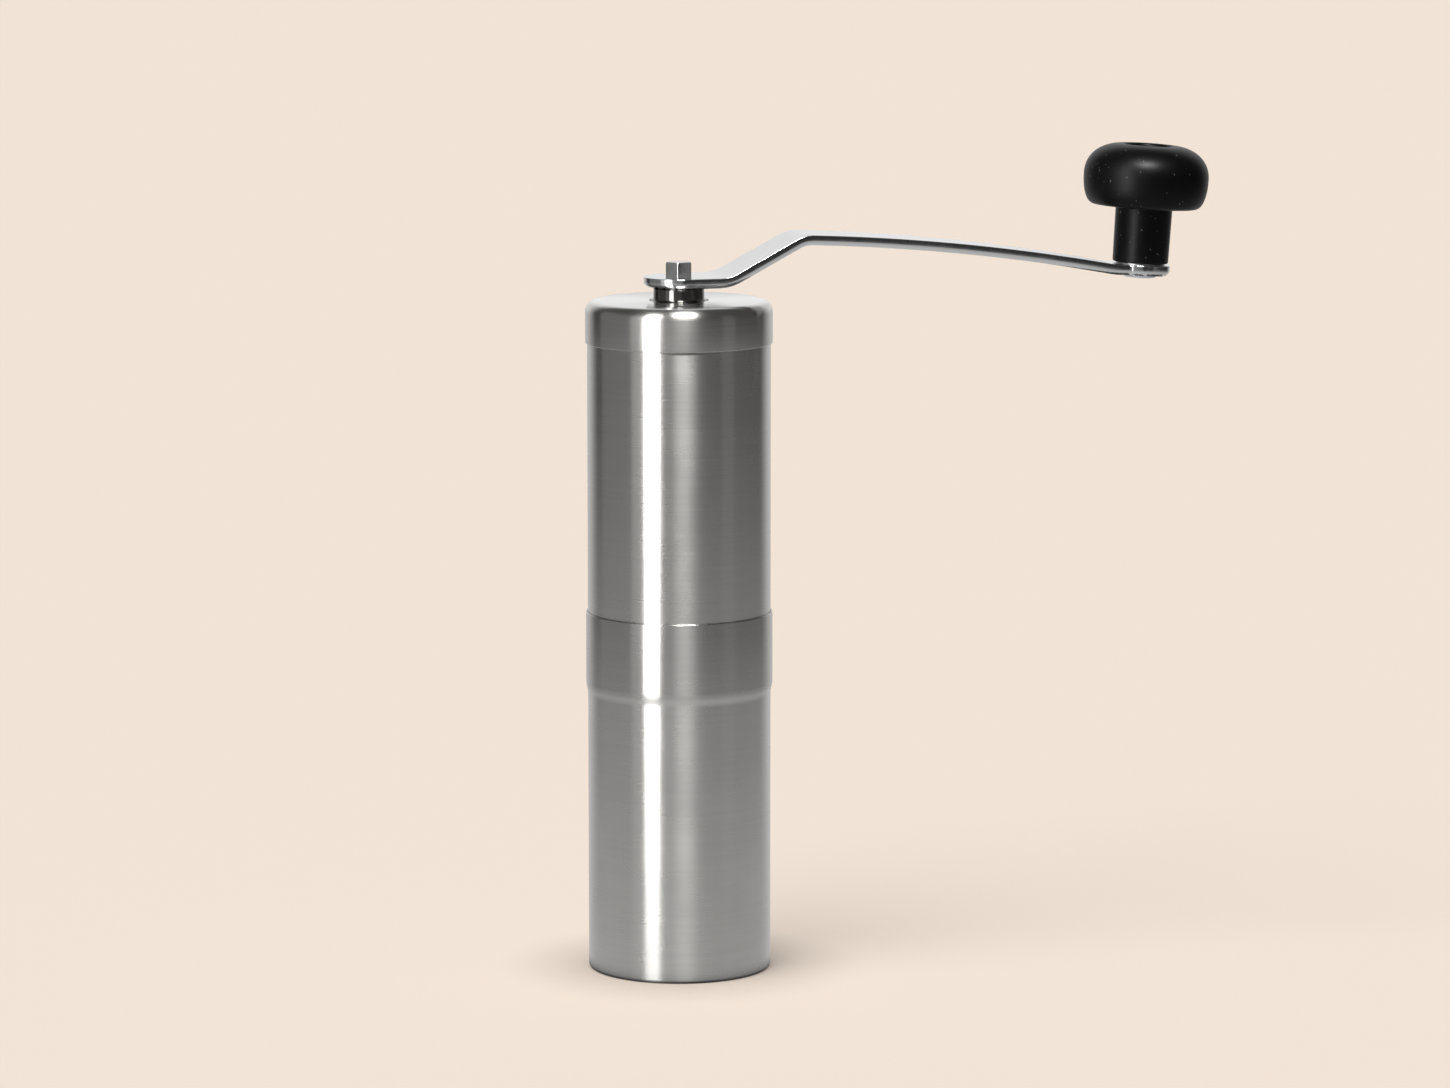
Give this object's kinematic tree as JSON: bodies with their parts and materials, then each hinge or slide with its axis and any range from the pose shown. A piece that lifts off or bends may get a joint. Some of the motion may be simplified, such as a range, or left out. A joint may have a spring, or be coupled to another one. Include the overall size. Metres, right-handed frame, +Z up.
{
  "type": "hand crank coffee grinder",
  "caption": "Slim cylindrical metal hand grinder for coffee with a bent crank arm, black mushroom knob, lift-off lid and a lower jar that catches the grounds.",
  "frame": {"origin": "centre of the flat underside of the grounds jar, on the shaft's axis", "axes": "+Z up along the shaft; +X towards the knob, along the crank as stored; +Y completes a right-handed frame"},
  "size_m": [0.1694, 0.049, 0.2153],
  "materials": {
    "jar_steel": "satin, brushed round the jar",
    "tube_steel": "satin, brushed round the tube",
    "cap_steel": "satin skirt and top with a polished neck",
    "crank_steel": "polished",
    "shaft_steel": "turned and polished",
    "pressed_steel": "dull pressed sheet",
    "spring_steel": "bright spring steel",
    "driver_metal": "sintered, dull",
    "bush_bronze": "plain sintered bronze",
    "insert_brass": "turned",
    "burr_ceramic": "matt fired ceramic",
    "carrier_plastic": "matt moulded",
    "dial_plastic": "matt moulded",
    "knob_plastic": "satin gloss moulded"
  },
  "bodies": {
    "jar": {"grounds_jar": "jar_steel"},
    "case": {"body_tube": "tube_steel", "shaft_bridge": "pressed_steel", "upper_bush": "bush_bronze", "burr_carrier": "carrier_plastic", "lower_bush": "bush_bronze", "outer_burr": "burr_ceramic", "burr_clip_ring": "spring_steel"},
    "shaft": {"drive_shaft": "shaft_steel", "shaft_circlips": "spring_steel", "thrust_washer": "pressed_steel", "burr_spring": "spring_steel"},
    "burr_cone": {"inner_burr": "burr_ceramic", "burr_driver": "driver_metal", "detent_plate": "pressed_steel"},
    "adjuster": {"adjuster_dial": "dial_plastic", "adjuster_insert": "insert_brass"},
    "cap": {"top_cap": "cap_steel"},
    "crank": {"crank_arm": "crank_steel", "knob_rivet": "crank_steel", "knob_washers": "pressed_steel"},
    "knob": {"knob": "knob_plastic"}
  },
  "joints": [
    {"name": "body_lift", "type": "slide", "parent": "jar", "child": "case", "axis": [0, 0, 1], "range_m": [0, 0.05]},
    {"name": "crank_spin", "type": "hinge", "parent": "case", "child": "shaft", "pos_m": [0, 0, 0.17], "axis": [0, 0, 1], "continuous": true},
    {"name": "burr_slide", "type": "slide", "parent": "shaft", "child": "burr_cone", "axis": [0, 0, 1], "range_m": [-0.0012, 0.0004], "deforming": ["burr_spring"]},
    {"name": "dial_turn", "type": "hinge", "parent": "burr_cone", "child": "adjuster", "pos_m": [0, 0, 0.07], "axis": [0, 0, 1], "range_deg": [-541, 181]},
    {"name": "cap_lift", "type": "slide", "parent": "case", "child": "cap", "axis": [0, 0, 1], "range_m": [0, 0.03]},
    {"name": "crank_lift", "type": "slide", "parent": "shaft", "child": "crank", "axis": [0, 0, 1], "range_m": [0, 0.04]},
    {"name": "knob_spin", "type": "hinge", "parent": "crank", "child": "knob", "pos_m": [0.1268, 0, 0.1832], "axis": [0.0628, 0, 0.998], "continuous": true}
  ],
  "couplings": [
    {"joint": "dial_turn", "follows": "burr_slide", "rad_per_m": 7854},
    {"joint": "crank_lift", "follows": "cap_lift", "ratio": 1.2}
  ]
}
